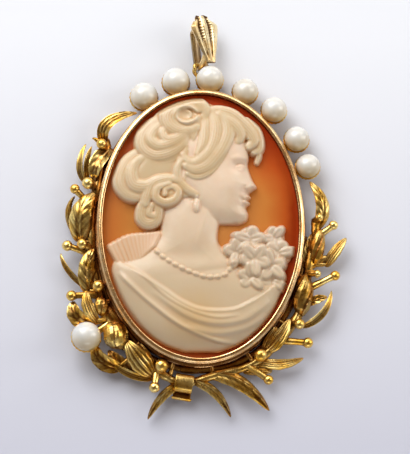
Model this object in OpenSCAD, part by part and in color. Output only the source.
/* [Cameo shell] */
// Length of the oval shell
shell_l = 40.6; // [36:0.2:46]
// Width of the oval shell
shell_w = 30; // [26:0.2:34]
// Thickness of the shell at its edge
shell_edge_t = 2.8; // [2.2:0.1:3.2]
// Rise of the domed ground from its edge to its middle
dome_rise = 0.9; // [0.4:0.1:1.4]
// Height of the carving over the ground
relief_h = 2.7; // [1.8:0.1:3.4]
// Width of a lock of hair
lock_w = 1.7; // [1.2:0.1:2.2]
// Diameter of a bead in the carved necklace
bead_d = 0.9; // [0.6:0.05:1.1]
// Radius of a carved rose
rose_r = 1.7; // [1.3:0.1:2]

/* [Bezel] */
// Height of the bezel from its back rim to its crest
bezel_h = 5; // [4.6:0.1:6]
// Thickness of the bezel wall
wall_t = 0.62; // [0.5:0.01:0.8]
// Height of the seat under the shell
seat_h = 0.8; // [0.6:0.05:1.1]
// Width of the seat under the shell
seat_w = 0.8; // [0.5:0.05:1.5]
// Radius of the rolled rim
rim_r = 0.35; // [0.28:0.01:0.45]
// Radius of the border wire low on the wall
border_r = 0.32; // [0.25:0.01:0.4]
// Height of the border wire over the back
border_z = 1.75; // [1.3:0.05:2.4]

/* [Leaf sprays] */
// Reach of the sprays, from the bezel wall to the longest leaf tip
spray_w = 10; // [8:0.1:12]
// Height of the highest leaf over the back
spray_h = 3.6; // [3:0.1:4.5]
// Width of a plain leaf
leaf_w = 2.1; // [1.6:0.1:2.6]
// Thickness of a leaf at its middle
leaf_t = 0.6; // [0.45:0.05:0.8]
// Radius of the stem that carries the sprays
stem_r = 0.75; // [0.6:0.05:0.95]
// Diameter of a plain gold ball
ball_d = 2.2; // [1.8:0.1:2.5]
// Radius of a ball's stalk
stalk_r = 0.38; // [0.25:0.01:0.45]
// Width of the round bud at the lower left
bud_w = 3.7; // [3:0.1:4.2]
// Width of the ribbon binding, along the stem
ribbon_w = 2.9; // [2.2:0.1:3.6]

/* [Pearls] */
// Diameter of the largest pearl
pearl_d = 4.4; // [3.8:0.1:4.6]
// Height of the pearls over the back
pearl_z = 3; // [2.9:0.1:3.4]
// Wall of a pearl cup
cup_t = 0.3; // [0.25:0.01:0.4]
// Radius of the peg in a pearl
peg_r = 0.35; // [0.25:0.01:0.5]

/* [Bail] */
// Length of the bail's fan leaf
fan_l = 7.6; // [6.5:0.1:9]
// Overhang of the fan leaf's lower end past the bar
fan_foot = 0.5; // [0.2:0.1:0.7]
// Overhang of the fan leaf's upper end past the loop
fan_over = 1.4; // [0.8:0.1:2]
// Width of the fan leaf at its shoulders
fan_w = 4.8; // [3.8:0.1:5.6]
// Depth of the loop, from its back strip to its front strip
bail_d = 3.9; // [3.5:0.1:4.4]
// Width of the strip
strip_w = 1.4; // [1.1:0.1:1.6]
// Thickness of the strip
strip_t = 0.45; // [0.35:0.05:0.5]
// Radius of the bar that the bail hangs on
bar_r = 0.32; // [0.25:0.01:0.36]
// Roll of the bail as it lies, about its own length
bail_roll = 30; // [22:1:34]
// Lean of the bail to the left
bail_lean = 10; // [4:1:14]
// How far the hinge lies to the left of the third pearl
hinge_side = 1.4; // [1:0.1:1.8]
// Gap between the third pearl's cup and the hinge
hinge_clear = 0.25; // [0.15:0.05:0.5]
// Length of the bar's legs, down to the pearl's cup
bar_leg = 1.2; // [1:0.1:1.5]

/* [Fits] */
// Gap between a pearl and its cup and peg
pearl_gap = 0.05; // [0.03:0.01:0.08]
// Gap between the shell and its bezel
shell_gap = 0.06; // [0.03:0.01:0.12]
// Gap between the carved layer and the ground under it
layer_gap = 0.03; // [0.02:0.01:0.05]
// Gap between the bail and its bar
bail_gap = 0.13; // [0.1:0.01:0.18]
// Height of the lying bail's lowest point over the back
bail_lift = 0.04; // [0.02:0.01:0.1]

/* [Hidden] */

gold = "goldenrod";
half_w = shell_w / 2;
half_l = shell_l / 2;
oval_steps = 52;
ground_z = seat_h + layer_gap;
up = [0, 0, 1];

// Stem route, round the oval from the upper left: angle, distance from the wall in reaches
STEM = [[142, 0.2], [154, 0.1], [169, 0.08], [185, 0.1], [204, 0.15], [222, 0.2], [241, 0.24],
        [254, 0.27], [263, 0.3], [277, 0.18], [294, 0.22], [308, 0.22], [322, 0.24], [335, 0.2],
        [345, 0.16], [357, 0.2], [364, 0.22]];
// Route of the second, thinner stem close to the wall
INNER_STEM = [[150, 0.07], [176, 0.05], [204, 0.06], [238, 0.1], [256, 0.09], [270, 0.08], [288, 0.1],
              [306, 0.1], [332, 0.08], [357, 0.07]];
// Angles at which the stem is soldered to the wall
TIES = [146, 188, 212, 236, 256, 276, 296, 318, 340];
// Leaves: base, middle and tip as angle and distance in reaches, then width in leaf widths,
// heights of base, middle and tip in spray heights, and the roll of the blade
LEAVES = [
    [144, 0.22, 137, 0.29, 125, 0.08, 0.95, 0.5, 0.85, 0.8, 20],
    [146, 0.18, 145, 0.3, 145, 0.42, 0.35, 0.5, 0.6, 0.5, 0],
    [162, 0.28, 156, 0.42, 148, 0.46, 0.5, 0.4, 0.5, 0.55, 25],
    [161, 0.25, 155, 0.34, 148, 0.36, 0.45, 0.4, 0.6, 0.65, -15],
    [146, 0.09, 154, 0.16, 161, 0.14, 1.15, 0.6, 0.85, 0.7, -20],
    [186, 0.26, 175, 0.26, 166, 0.08, 1.55, 0.6, 0.95, 0.85, 15],
    [184, 0.31, 175, 0.45, 168, 0.38, 0.5, 0.35, 0.4, 0.45, 20],
    [205, 0.27, 196, 0.49, 189, 0.58, 0.42, 0.45, 0.5, 0.45, 25],
    [206, 0.28, 197, 0.22, 189, 0.08, 1.3, 0.55, 0.8, 0.75, -15],
    [218, 0.46, 212, 0.6, 207, 0.55, 1.15, 0.5, 0.7, 0.6, 20],
    [218, 0.36, 211, 0.39, 205, 0.31, 0.9, 0.7, 0.95, 0.85, -10],
    [237, 0.52, 230, 0.64, 224, 0.56, 1.15, 0.42, 0.55, 0.5, 20],
    [249, 0.34, 240, 0.25, 231, 0.17, 1.5, 0.6, 0.85, 0.8, 10],
    [249, 0.27, 242, 0.14, 236, 0.07, 0.7, 0.6, 0.8, 0.7, -10],
    [250, 0.38, 241, 0.5, 232, 0.57, 0.55, 0.4, 0.45, 0.5, 20],
    [262, 0.3, 256, 0.58, 254, 0.98, 0.7, 0.55, 0.55, 0.4, -20],
    [267, 0.26, 276, 0.44, 280, 0.85, 0.75, 0.55, 0.6, 0.4, 20],
    [275, 0.15, 287, 0.4, 292, 0.97, 1.15, 0.5, 0.7, 0.45, 20],
    [298, 0.22, 304, 0.48, 312, 0.68, 0.8, 0.45, 0.55, 0.45, 10],
    [304, 0.2, 312, 0.2, 321, 0.16, 1.05, 0.55, 0.8, 0.8, 15],
    [303, 0.16, 309, 0.1, 315, 0.06, 0.7, 0.5, 0.7, 0.7, 0],
    [321, 0.38, 329, 0.56, 338, 0.58, 0.55, 0.45, 0.55, 0.5, -20],
    [346, 0.4, 352, 0.53, 357, 0.68, 0.8, 0.45, 0.6, 0.55, 15],
    [346, 0.1, 351, 0.12, 358, 0.14, 0.8, 0.4, 0.5, 0.5, 0],
    [346, 0.16, 348, 0.3, 350, 0.44, 0.6, 0.5, 0.5, 0.45, 0],
    [0, 0.22, 9, 0.33, 19, 0.2, 1.05, 0.55, 0.75, 0.7, -20],
    [242, 0.44, 235, 0.48, 229, 0.46, 0.95, 0.35, 0.4, 0.38, 0],
    [187, 0.2, 180, 0.13, 173, 0.1, 0.9, 0.4, 0.5, 0.5, 0],
    [212, 0.2, 218, 0.13, 225, 0.1, 0.75, 0.4, 0.5, 0.5, 0],
    [290, 0.24, 297, 0.36, 300, 0.5, 0.85, 0.4, 0.5, 0.4, 0],
    [330, 0.3, 333, 0.42, 335, 0.55, 0.6, 0.45, 0.6, 0.6, 0]];
// Balls on stalks: angle and distance in reaches, size in ball diameters, height in spray
// heights, then the angle at which the stalk leaves the stem
BALLS = [
    [146, 0.23, 0.75, 0.95, 147], [163, 0.22, 0.84, 0.95, 164],
    [166, 0.4, 0.69, 0.8, 172], [187, 0.47, 0.75, 0.7, 191],
    [187, 0.24, 0.73, 0.9, 189], [205, 0.13, 0.84, 0.95, 206],
    [205, 0.56, 0.75, 0.7, 208], [251, 0.16, 0.95, 0.9, 251],
    [252, 0.5, 0.75, 0.7, 250], [297, 0.56, 0.69, 0.6, 293],
    [300, 0.19, 0.92, 0.9, 300], [317, 0.59, 0.75, 0.6, 311],
    [321, 0.33, 0.73, 0.85, 320], [342, 0.3, 0.5, 0.9, 342],
    [343, 0.57, 0.69, 0.8, 335], [1, 0.47, 0.65, 0.8, 356], [4, 0.26, 0.47, 0.9, 3]];
// Buds: foot and tip as angle and distance in reaches, width in bud widths, height in spray
// heights, and the number of petals
BUDS = [[217, 0.25, 209, 0.16, 0.58, 0.85, 3], [233, 0.28, 220, 0.22, 1, 0.8, 5],
        [324, 0.3, 341, 0.12, 0.84, 0.75, 4], [345, 0.24, 360, 0.27, 0.62, 0.75, 3]];
// Pearls: angle, gap to the wall in reaches, size in pearl diameters, height in pearl heights
PEARLS = [[117.8, 0.01, 0.95, 1], [101.5, 0.01, 0.95, 1], [85.5, 0.015, 0.93, 1], [68, 0.01, 0.88, 1],
          [52.7, 0.055, 0.88, 1], [37, 0.07, 0.86, 1], [25, 0.06, 0.83, 1], [220.7, 0.41, 1, 1.35]];

// Shares of the shell's half width and half length, and of the carving's height, place the
// carving. Slabs have rows of: place up the oval, left edge, right edge, height
BUST = [[-0.12, -0.48, 0.16, 0.25], [-0.2, -0.68, 0.26, 0.42], [-0.28, -0.88, 0.4, 0.5],
        [-0.42, -0.88, 0.8, 0.58], [-0.56, -0.8, 0.78, 0.62], [-0.7, -0.68, 0.68, 0.6],
        [-0.82, -0.52, 0.52, 0.5], [-0.9, -0.36, 0.36, 0.32], [-0.95, -0.16, 0.18, 0.08]];
NECK = [[0.3, -0.32, 0.2, 0.4], [0.1, -0.4, 0.2, 0.5], [-0.08, -0.42, 0.17, 0.5],
        [-0.2, -0.56, 0.19, 0.42], [-0.32, -0.6, 0.2, 0.3]];
HEAD = [[0.88, -0.2, 0.3, 0.3], [0.74, -0.3, 0.46, 0.6], [0.6, -0.3, 0.48, 0.72], [0.52, -0.3, 0.49, 0.74],
        [0.46, -0.3, 0.48, 0.74], [0.42, -0.3, 0.49, 0.74], [0.34, -0.3, 0.53, 0.74],
        [0.29, -0.28, 0.57, 0.74], [0.265, -0.24, 0.53, 0.72], [0.235, -0.2, 0.49, 0.7],
        [0.21, -0.16, 0.51, 0.68], [0.185, -0.14, 0.48, 0.68], [0.165, -0.12, 0.5, 0.66],
        [0.13, -0.1, 0.46, 0.62], [0.08, 0, 0.48, 0.56], [0.03, 0.08, 0.46, 0.46], [0, 0.18, 0.38, 0.3]];
HAIR = [[0.96, -0.28, 0, 0.25], [0.87, -0.44, 0.31, 0.5], [0.8, -0.52, 0.44, 0.66],
        [0.72, -0.61, 0.5, 0.72], [0.64, -0.65, 0.5, 0.74], [0.57, -0.67, 0.36, 0.76],
        [0.49, -0.69, 0.2, 0.76], [0.42, -0.76, 0.12, 0.72], [0.34, -0.78, 0, 0.66],
        [0.27, -0.74, -0.08, 0.56], [0.19, -0.62, -0.2, 0.4], [0.14, -0.52, -0.28, 0.25]];
// Locks of hair, folds and the like: rows of place across, place up, height, width in lock widths
BUN = [[0.02, 0.73, 0.7, 0.8], [0.06, 0.83, 0.8, 1], [-0.01, 0.92, 0.7, 1], [-0.15, 0.95, 0.6, 1],
       [-0.29, 0.92, 0.65, 1.1], [-0.38, 0.83, 0.75, 1.2], [-0.36, 0.73, 0.8, 1.2], [-0.27, 0.68, 0.85, 1.1],
       [-0.15, 0.69, 0.85, 1], [-0.08, 0.76, 0.8, 0.9], [-0.1, 0.84, 0.75, 0.8], [-0.18, 0.86, 0.65, 0.6]];
LOCKS = [
    [[-0.4, 0.81, 0.6, 1], [-0.55, 0.73, 0.65, 1.1], [-0.63, 0.63, 0.65, 1.1], [-0.62, 0.54, 0.7, 1.1],
     [-0.5, 0.5, 0.8, 1.1], [-0.34, 0.51, 0.85, 1], [-0.18, 0.56, 0.9, 0.8]],
    [[-0.41, 0.72, 0.8, 0.9], [-0.5, 0.64, 0.8, 0.9], [-0.48, 0.58, 0.85, 0.9], [-0.36, 0.58, 0.9, 0.9],
     [-0.2, 0.62, 0.95, 0.8], [-0.1, 0.67, 0.9, 0.6]],
    [[-0.35, 0.47, 0.7, 1], [-0.55, 0.45, 0.65, 1.2], [-0.72, 0.39, 0.6, 1.2], [-0.75, 0.3, 0.6, 1.3],
     [-0.68, 0.23, 0.6, 1.2], [-0.56, 0.24, 0.7, 1], [-0.5, 0.29, 0.7, 0.8]],
    [[-0.34, 0.41, 0.85, 0.9], [-0.5, 0.39, 0.8, 1], [-0.6, 0.34, 0.8, 0.9], [-0.54, 0.28, 0.8, 0.7]],
    [[-0.02, 0.21, 0.8, 0.5], [-0.15, 0.25, 0.85, 0.8], [-0.28, 0.31, 0.85, 1], [-0.42, 0.31, 0.85, 1],
     [-0.5, 0.25, 0.8, 1], [-0.46, 0.18, 0.75, 1], [-0.35, 0.18, 0.8, 0.9], [-0.3, 0.23, 0.8, 0.7]],
    [[-0.54, 0.2, 0.6, 0.8], [-0.59, 0.11, 0.5, 0.9], [-0.56, 0.03, 0.45, 0.9], [-0.49, 0.02, 0.5, 0.8],
     [-0.43, 0.07, 0.55, 0.7], [-0.42, 0.14, 0.6, 0.6]],
    [[0.08, 0.87, 0.55, 0.8], [0.25, 0.87, 0.65, 1.1], [0.42, 0.8, 0.7, 1.2], [0.5, 0.71, 0.75, 1.2],
     [0.57, 0.63, 0.7, 1], [0.57, 0.55, 0.65, 0.8], [0.53, 0.5, 0.6, 0.5]],
    [[0.44, 0.75, 0.85, 1], [0.35, 0.64, 0.95, 1.2], [0.24, 0.53, 1, 1.2], [0.1, 0.44, 1, 1.2],
     [-0.05, 0.4, 0.95, 1.1], [-0.2, 0.41, 0.85, 0.8]],
    [[0.31, 0.8, 0.85, 1.1], [0.17, 0.67, 0.95, 1.2], [0.05, 0.54, 1, 1.1], [-0.1, 0.47, 0.95, 1],
     [-0.24, 0.47, 0.9, 0.7]],
    [[0.16, 0.83, 0.85, 1], [0.04, 0.72, 0.9, 1.1], [-0.06, 0.62, 0.9, 1], [-0.17, 0.55, 0.9, 0.8]],
    [[0.17, 0.45, 0.85, 0.6], [0.06, 0.37, 0.95, 0.9], [-0.08, 0.33, 0.95, 0.9], [-0.22, 0.36, 0.9, 0.8],
     [-0.34, 0.42, 0.8, 0.6]]];
FOLDS = [
    [[-0.8, -0.28, 0.4, 0.7], [-0.62, -0.37, 0.6, 0.9], [-0.39, -0.48, 0.72, 1], [-0.19, -0.58, 0.75, 1],
     [0.02, -0.64, 0.75, 1], [0.31, -0.64, 0.72, 1], [0.5, -0.58, 0.65, 0.9], [0.69, -0.48, 0.5, 0.7]],
    [[-0.82, -0.38, 0.45, 0.7], [-0.66, -0.52, 0.6, 0.8], [-0.42, -0.68, 0.65, 0.9], [-0.14, -0.79, 0.65, 0.9],
     [0.2, -0.82, 0.6, 0.9], [0.5, -0.74, 0.55, 0.8], [0.68, -0.62, 0.5, 0.6]],
    [[-0.66, -0.62, 0.45, 0.7], [-0.4, -0.79, 0.5, 0.8], [-0.1, -0.88, 0.45, 0.8], [0.24, -0.88, 0.4, 0.7]]];
// Necklace: the line that its beads follow
NECKLACE = [[-0.5, -0.17, 0.5], [-0.38, -0.25, 0.62], [-0.2, -0.33, 0.68], [0, -0.39, 0.68],
            [0.14, -0.4, 0.66], [0.26, -0.37, 0.62], [0.32, -0.29, 0.5]];
// Roses of the posy: place across, place up, size in rose radii, height
ROSES = [[0.53, -0.14, 1, 0.62], [0.73, -0.24, 1.1, 0.55], [0.58, -0.34, 1, 0.72], [0.72, -0.44, 0.9, 0.55],
         [0.41, -0.25, 0.9, 0.7], [0.68, -0.08, 0.9, 0.45], [0.4, -0.38, 0.7, 0.75], [0.84, -0.15, 0.7, 0.35]];
// Pleats of the ruffle behind the shoulder: foot and tip, across and up
RUFFLE = [[-0.5, -0.16, -0.46, -0.09], [-0.56, -0.19, -0.56, -0.09], [-0.62, -0.22, -0.66, -0.09],
          [-0.68, -0.25, -0.75, -0.11], [-0.74, -0.27, -0.83, -0.14], [-0.8, -0.29, -0.9, -0.19]];

function unit(v) = v / norm(v);
function mix(a, b, t) = a + (b - a) * t;
// Point on the shell's oval at an angle, moved out along its normal
function oval(t, out) = [half_w * cos(t), half_l * sin(t)]
    + out * unit([half_l * cos(t), half_w * sin(t)]);
// Point of a spray, at a share of the reach from the wall
function spray(t, share, z) = concat(oval(t, wall_t + shell_gap + share * spray_w), z);
// Smooth line through rows, with steps points to each gap
function smooth(rows, steps) = let (n = len(rows)) concat(
    [for (i = [0:n - 2], k = [0:steps - 1])
        let (t = k / steps, a = rows[max(i - 1, 0)], b = rows[i], c = rows[i + 1],
            d = rows[min(i + 2, n - 1)])
        b + t / 2 * (c - a + t * (2 * a - 5 * b + 4 * c - d + t * (3 * b - a - 3 * c + d)))],
    [rows[n - 1]]);
// Direction of a line at its point i
function heading(line, i) = unit(line[min(i + 1, len(line) - 1)] - line[max(i - 1, 0)]);
// Level direction across a line, or X where the line stands upright
function side_of(line, i) = let (c = cross(heading(line, i), up)) norm(c) < 0.01 ? [1, 0, 0] : unit(c);

// Skin over rings with equal numbers of points, closed at both ends
module skin(rings) {
    n = len(rings[0]);
    last = (len(rings) - 1) * n;
    polyhedron(points = [for (r = rings) each r], faces = concat(
        [for (i = [1:n - 2]) [0, i + 1, i]],
        [for (i = [1:n - 2]) [last, last + i, last + i + 1]],
        [for (r = [0:n:last - n], i = [0:n - 1], half = [0, 1]) let (j = (i + 1) % n)
            half == 0 ? [r + i, r + j, r + n + j] : [r + i, r + n + j, r + n + i]]));
}

// Round wire along a line, with a radius for each point
module wire(line, radii, sides) {
    skin([for (i = [0:len(line) - 1]) let (d = heading(line, i), s = side_of(line, i), v = cross(s, d))
        [for (k = [0:sides - 1]) let (a = 360 * k / sides)
            line[i] + radii[i] * (s * cos(a) + v * sin(a))]]);
}

// Height of the ground's dome at shares of the half width and half length
function dome(u, v) = ground_z + shell_edge_t + dome_rise * (1 - u * u - v * v);
function carve(u, v, h) = [u * half_w, v * half_l, dome(u, v) + h * relief_h];

// Solid between the shell's oval and a height, under the dome
module dome_solid(out, lift, floor_z) {
    rings = [1, 0.8, 0.55, 0.25];
    n = oval_steps;
    edge = [for (k = [0:n - 1]) oval(-360 * k / n, out)];
    points = concat(
        [for (p = edge) concat(p, floor_z)],
        [for (s = rings, p = edge) concat(p * s, lift + dome(p[0] * s / half_w, p[1] * s / half_l))],
        [concat([0, 0], lift + dome(0, 0))]);
    top = len(points) - 1;
    last = len(rings) * n;
    polyhedron(points = points, faces = concat(
        [[for (k = [n - 1:-1:0]) k]],
        [for (r = [0:n:last - n], k = [0:n - 1], half = [0, 1]) let (j = (k + 1) % n)
            half == 0 ? [r + k, r + j, r + n + j] : [r + k, r + n + j, r + n + k]],
        [for (k = [0:n - 1]) [last + k, last + (k + 1) % n, top]]));
}

// Bezel: one profile carried round the oval
module bezel() {
    inner = shell_gap;
    outer = shell_gap + wall_t;
    rim_z = bezel_h - rim_r;
    profile = concat(
        [[inner - seat_w, 0], [inner - seat_w, seat_h], [inner, seat_h], [inner, rim_z - rim_r]],
        [for (a = [180:-45:0]) [(inner + outer) / 2 + rim_r * cos(a), rim_z + rim_r * sin(a)]],
        [[outer, rim_z - rim_r], [outer, border_z + border_r]],
        [for (a = [60:-60:-60]) [outer + border_r * (0.6 + cos(a)), border_z + border_r * sin(a)]],
        [[outer, border_z - border_r], [outer, 0]]);
    n = oval_steps;
    m = len(profile);
    polyhedron(
        points = [for (k = [0:n - 1], p = profile) concat(oval(360 * k / n, p[0]), p[1])],
        faces = [for (k = [0:n - 1], i = [0:m - 1], half = [0, 1])
            let (a = k * m + i, b = k * m + (i + 1) % m, step = (k == n - 1 ? m - n * m : m))
            half == 0 ? [a, b + step, b] : [a, a + step, b + step]]);
}

function stem_share(t) = lookup(t, STEM);

module stem() {
    line = smooth([for (row = STEM) spray(row[0], row[1], border_z)], 2);
    last = len(line) - 1;
    wire(line, [for (i = [0:last]) stem_r * (i == 0 || i == last ? 0.5 : 1 + 0.12 * sin(i * 77))], 8);
    for (t = TIES)
        wire([spray(t, stem_share(t), border_z), spray(t, -wall_t / 2 / spray_w, border_z * 0.8)],
            [0.6, 0.6] * stem_r, 5);
    inner = smooth([for (row = INNER_STEM) spray(row[0], row[1], border_z * 0.7)], 3);
    wire(inner, [for (i = [0:len(inner) - 1]) stem_r * 0.75], 6);
}

// Blade outline of a leaf, as a share of its width
function blade(t) = max(0.1, 0.3 * pow(1 - t, 3) + pow(sin(180 * pow(t, 0.85)), 0.7));

module leaf(row) {
    a = spray(row[0], row[1], row[7] * spray_h);
    b = spray(row[2], row[3], row[8] * spray_h);
    c = spray(row[4], row[5], row[9] * spray_h);
    steps = 5;
    line = [for (k = [0:steps]) let (t = k / steps)
        a * (1 - t) * (1 - 2 * t) + b * 4 * t * (1 - t) + c * t * (2 * t - 1)];
    skin([for (i = [0:steps])
        let (s0 = side_of(line, i), v0 = cross(s0, heading(line, i)), roll = row[10],
            s = (s0 * cos(roll) + v0 * sin(roll)) * row[6] * leaf_w / 2 * blade(i / steps),
            v = (v0 * cos(roll) - s0 * sin(roll)) * leaf_t * (0.4 + 0.6 * blade(i / steps)))
        [for (p = [[1, -0.1], [0.45, 0.55], [-0.45, 0.55], [-1, -0.1], [0, -0.4]])
            line[i] + p[0] * s + p[1] * v]]);
    // Root that joins the leaf to the stem
    wire([a, spray(row[0], stem_share(row[0]), border_z)], [0.45, 0.6] * leaf_t * 1.4, 5);
}

module ball(row) {
    r = row[2] * ball_d / 2;
    centre = spray(row[0], row[1], row[3] * spray_h);
    foot = spray(row[4], stem_share(row[4]), border_z);
    translate(centre) sphere(r, $fn = 10);
    wire([centre, foot], [1, 1.4] * stalk_r, 5);
}

module bud(row) {
    z = row[5] * spray_h;
    foot = spray(row[0], row[1], z * 0.7);
    tip = spray(row[2], row[3], z * 0.9);
    swell = [0.35, 0.8, 1, 1, 0.78, 0.3];
    wave = [0, 0.12, 0.12, 0.12, 0.12, 0];
    line = [for (k = [0:5]) mix(foot, tip, k / 5)];
    skin([for (i = [0:5]) let (d = heading(line, i), s = side_of(line, i), v = cross(s, d))
        [for (a = [0:30:330]) let (r = row[4] * bud_w / 2 * swell[i])
            line[i] + r * (1 + wave[i] * cos(row[6] * (a + 14 * i))) * (s * cos(a) + v * sin(a))]]);
    wire([foot, spray(row[0], stem_share(row[0]), border_z)], [0.9, 1.2] * stalk_r * 1.5, 6);
}

// Ribbon bound round the stem at the foot, with its end curled out
module ribbon() {
    t = 263;
    share = stem_share(t);
    s = unit(spray(t + 1, share, 0) - spray(t - 1, share, 0));
    band = [for (k = [-0.5, 0.5]) spray(t, share, border_z) + s * k * ribbon_w];
    wire(band, [1, 1] * (stem_r + leaf_t), 10);
    curl = [for (k = [-0.5, 0.5]) spray(t, share + 0.15, border_z * 0.75) + s * k * ribbon_w * 0.9];
    wire(curl, [1, 1] * leaf_t * 0.8, 8);
    wire([(band[0] + band[1]) / 2, (curl[0] + curl[1]) / 2], [1, 0.8] * leaf_t, 6);
}

function pearl_r(row) = row[2] * pearl_d / 2;
function pearl_at(row) = spray(row[0], row[1] + pearl_r(row) / spray_w, row[3] * pearl_z);

// Cup and peg under a pearl, with the arm that carries them
module pearl_cup(row) {
    r = pearl_r(row) + pearl_gap;
    centre = pearl_at(row);
    translate(centre) {
        // The inner facets stand clear of the pearl
        rotate_extrude($fn = 14) polygon(concat(
            [for (a = [-90, -68, -46, -25]) r / cos(11) / cos(180 / 14) * [cos(a), sin(a)]],
            [for (a = [-25, -55, -90]) (r + 1.3 * cup_t) * [cos(a), sin(a)]]));
        translate([0, 0, -r - cup_t / 2]) cylinder(r = peg_r, h = r + cup_t / 2, $fn = 8);
    }
    low = centre - [0, 0, r + cup_t];
    by_wall = row[1] < 0.2;
    root = by_wall ? spray(row[0], -wall_t / 2 / spray_w, seat_h) : spray(row[0], stem_share(row[0]), border_z);
    wire([low, root], [1, 1.3] * stalk_r, 6);
}

// Outer radius of the loop's corners
bail_corner = bar_r + bail_gap + strip_t;
// Frame of the bail: its hinge point and its own width, length and front directions
hinge_row = PEARLS[2];
hinge_at = [pearl_at(hinge_row)[0] - hinge_side,
            pearl_at(hinge_row)[1] + pearl_r(hinge_row) + cup_t + hinge_clear,
            bail_corner * cos(bail_roll) + strip_w / 2 * sin(bail_roll) + bail_lift];
bail_x = [cos(bail_roll) * cos(bail_lean), cos(bail_roll) * sin(bail_lean), -sin(bail_roll)];
bail_y = [-sin(bail_lean), cos(bail_lean), 0];
function bail_point(p) = hinge_at + p[0] * bail_x + p[1] * bail_y + p[2] * cross(bail_x, bail_y);

// Bar that the bail hangs on, bent down to the cup of the pearl in front of it
module bail_bar() {
    reach = strip_w / 2 + bail_gap + bar_r;
    cup = pearl_at(hinge_row);
    under = cup - [0, 0, pearl_r(hinge_row) + cup_t / 2];
    bend = bar_r;
    wire([under + [-bar_leg, bend, bend / 4], bail_point([-reach, -bar_leg, -bar_leg / 5]),
          bail_point([-reach, -bend, 0]), bail_point([-reach + bend / 2, 0, 0]),
          bail_point([reach - bend / 2, 0, 0]), bail_point([reach, -bend, 0]),
          bail_point([reach, -bar_leg, 0]), under + [bend / 2, bend, -bend / 2]],
        [for (i = [0:7]) bar_r], 12);
}

module frame() color(gold) {
    bezel();
    stem();
    for (row = LEAVES) leaf(row);
    for (row = BALLS) ball(row);
    for (row = BUDS) bud(row);
    for (row = PEARLS) pearl_cup(row);
    ribbon();
    bail_bar();
}

module cameo_ground() color("chocolate") dome_solid(0, 0, ground_z);

// Solid through rows of place up, left edge, right edge and height
module slab(rows) {
    skin([for (row = rows) concat(
        [for (s = [-1:0.25:1]) let (u = mix(row[1], row[2], (s + 1) / 2))
            carve(u, row[0], row[3] * pow(1 - pow(abs(s), 2.6), 1 / 2.6))],
        [carve(row[2], row[0], -0.4), carve(row[1], row[0], -0.4)])]);
}

// Raised lock or fold along rows of place across, place up, height and width
module lock(rows, steps, sides) {
    line = smooth([for (row = rows) carve(row[0], row[1], row[2]) - [0, 0, row[3] * lock_w / 2]], steps);
    widths = smooth([for (row = rows) [row[3]]], steps);
    wire(line, [for (w = widths) w[0] * lock_w / 2], sides);
}

module mound(u, v, h, size) translate(carve(u, v, h) - [0, 0, size[2]]) scale(size) sphere(1, $fn = 10);

module face_parts() {
    // Eyelid, brow, cheek, wing of the nose, lips and chin
    mound(0.37, 0.445, 0.78, [0.75, 0.45, 0.6]);
    lock([[0.46, 0.5, 0.74, 0.3], [0.4, 0.52, 0.8, 0.4], [0.28, 0.5, 0.76, 0.3]], 2, 6);
    mound(0.3, 0.3, 0.82, [1.9, 2.4, 1]);
    mound(0.46, 0.285, 0.78, [0.55, 0.5, 0.6]);
    mound(0.45, 0.212, 0.76, [0.75, 0.36, 0.6]);
    mound(0.44, 0.166, 0.74, [0.7, 0.38, 0.6]);
    mound(0.4, 0.08, 0.68, [1.1, 1, 0.9]);
    // Ear and its drop
    mound(-0.07, 0.28, 0.85, [0.7, 1, 0.7]);
    mound(-0.05, 0.15, 0.66, [0.5, 0.9, 0.6]);
}

// Rose with five outer petals round a raised heart
module rose(row) {
    r = row[2] * rose_r;
    turn = 90 * row[0];
    // Rings of share of the radius, height in rose radii, and depth of the petals' waves
    rings = [[1, -0.95, 0], [1, -0.2, 0.14], [0.72, 0.07, 0.14], [0.5, -0.09, 0.14],
             [0.36, 0.15, 0.14], [0.12, 0.17, 0]];
    skin([for (ring = rings) [for (k = [0:14])
        let (a = turn - 24 * k, reach = r * ring[0] * (1 + ring[2] * cos(5 * (a - 20 * ring[0]))))
        carve(row[0], row[1], row[3]) + [reach * cos(a), reach * sin(a), ring[1] * rose_r]]]);
}

module necklace() {
    for (p = smooth(NECKLACE, 2))
        translate(carve(p[0], p[1], p[2] + 0.03) - [0, 0, bead_d / 2]) sphere(bead_d / 2, $fn = 8);
}

module cameo_relief() color("antiquewhite") difference() {
    intersection() {
        union() {
            slab(BUST);
            slab(NECK);
            slab(HEAD);
            slab(HAIR);
            face_parts();
            lock(BUN, 2, 7);
            for (rows = LOCKS) lock(rows, 2, 6);
            for (rows = FOLDS) lock(rows, 2, 6);
            for (row = ROSES) rose(row);
            for (row = RUFFLE) lock([[row[0], row[1], 0.45, 0.5], [row[2], row[3], 0.35, 0.9]], 1, 6);
            necklace();
        }
        dome_solid(-0.5, relief_h * 1.3, ground_z);
    }
    dome_solid(1, layer_gap, 0);
}

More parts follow.
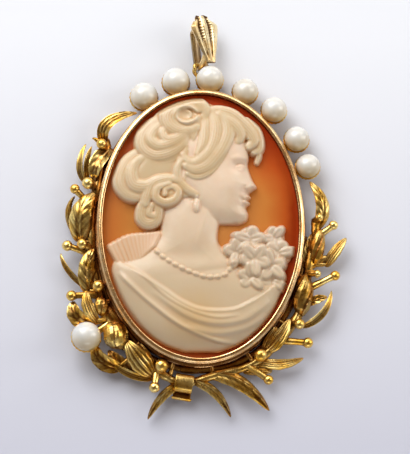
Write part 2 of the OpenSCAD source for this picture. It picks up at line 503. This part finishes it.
module pearl(row) color("ivory") translate(pearl_at(row)) difference() {
    sphere(pearl_r(row), $fn = 64);
    translate([0, 0, -pearl_d]) cylinder(r = peg_r + pearl_gap, h = pearl_d + pearl_gap, $fn = 32);
}
module pearl_1() pearl(PEARLS[0]);
module pearl_2() pearl(PEARLS[1]);
module pearl_3() pearl(PEARLS[2]);
module pearl_4() pearl(PEARLS[3]);
module pearl_5() pearl(PEARLS[4]);
module pearl_6() pearl(PEARLS[5]);
module pearl_7() pearl(PEARLS[6]);
module pearl_8() pearl(PEARLS[7]);

// Corners of the loop, seen from its side: along the bail, and out towards its front
bail_front = bail_d - 2 * bail_corner;
loop_end = fan_l - fan_foot - fan_over - bail_corner;
// The front leans in at the foot, and the loop narrows a little at its top
foot_in = 1.7;
top_in = 0.3;
loop_corners = [[0, 0], [foot_in, bail_front], [loop_end + top_in / 3, bail_front - top_in],
                [loop_end - top_in / 3, top_in]];
// Fan leaf: place along it, half width as a share of the fan's, drop behind the front, rib height
FAN = [[0, 0.34, 0, 0], [0.04, 0.36, 0, 0.3], [0.14, 0.44, 0, 0.35], [0.3, 0.62, 0, 0.35],
       [0.5, 0.8, 0.02, 0.35], [0.7, 0.96, 0.08, 0.35], [0.77, 1, 0.12, 0.35], [0.8, 0.78, 0.14, 0.35],
       [0.92, 0.74, 0.3, 0.35], [1, 0.62, 0.6, 0]];

module bail_loop(r) linear_extrude(strip_w, center = true) hull()
    for (c = loop_corners) translate(c) circle(r, $fn = 32);

module bail() color(gold) translate(hinge_at) rotate([0, 0, bail_lean]) rotate([0, bail_roll, 0]) {
    // The loop is drawn along X and Y, then stood with its width along X
    multmatrix([[0, 0, 1, 0], [1, 0, 0, 0], [0, 1, 0, 0]]) difference() {
        bail_loop(bail_corner);
        scale([1, 1, 2]) bail_loop(bail_corner - strip_t);
    }
    front = bail_front + bail_corner;
    fan_t = 0.4;
    skin([for (row = FAN)
        let (y = row[0] * fan_l - fan_foot, w = row[1] * fan_w / 2,
            z = front - row[2] - strip_t / 2, rib = row[3])
        concat([for (k = [5:-1:-5]) [k * w / 5, y, z + fan_t * (1 - k * k / 50) + (abs(k) % 2 == 0 ? rib : 0)]],
            [[-w, y, z + fan_t / 8], [w, y, z + fan_t / 8]])]);
}

frame();
cameo_ground();
cameo_relief();
pearl_1();
pearl_2();
pearl_3();
pearl_4();
pearl_5();
pearl_6();
pearl_7();
pearl_8();
bail();
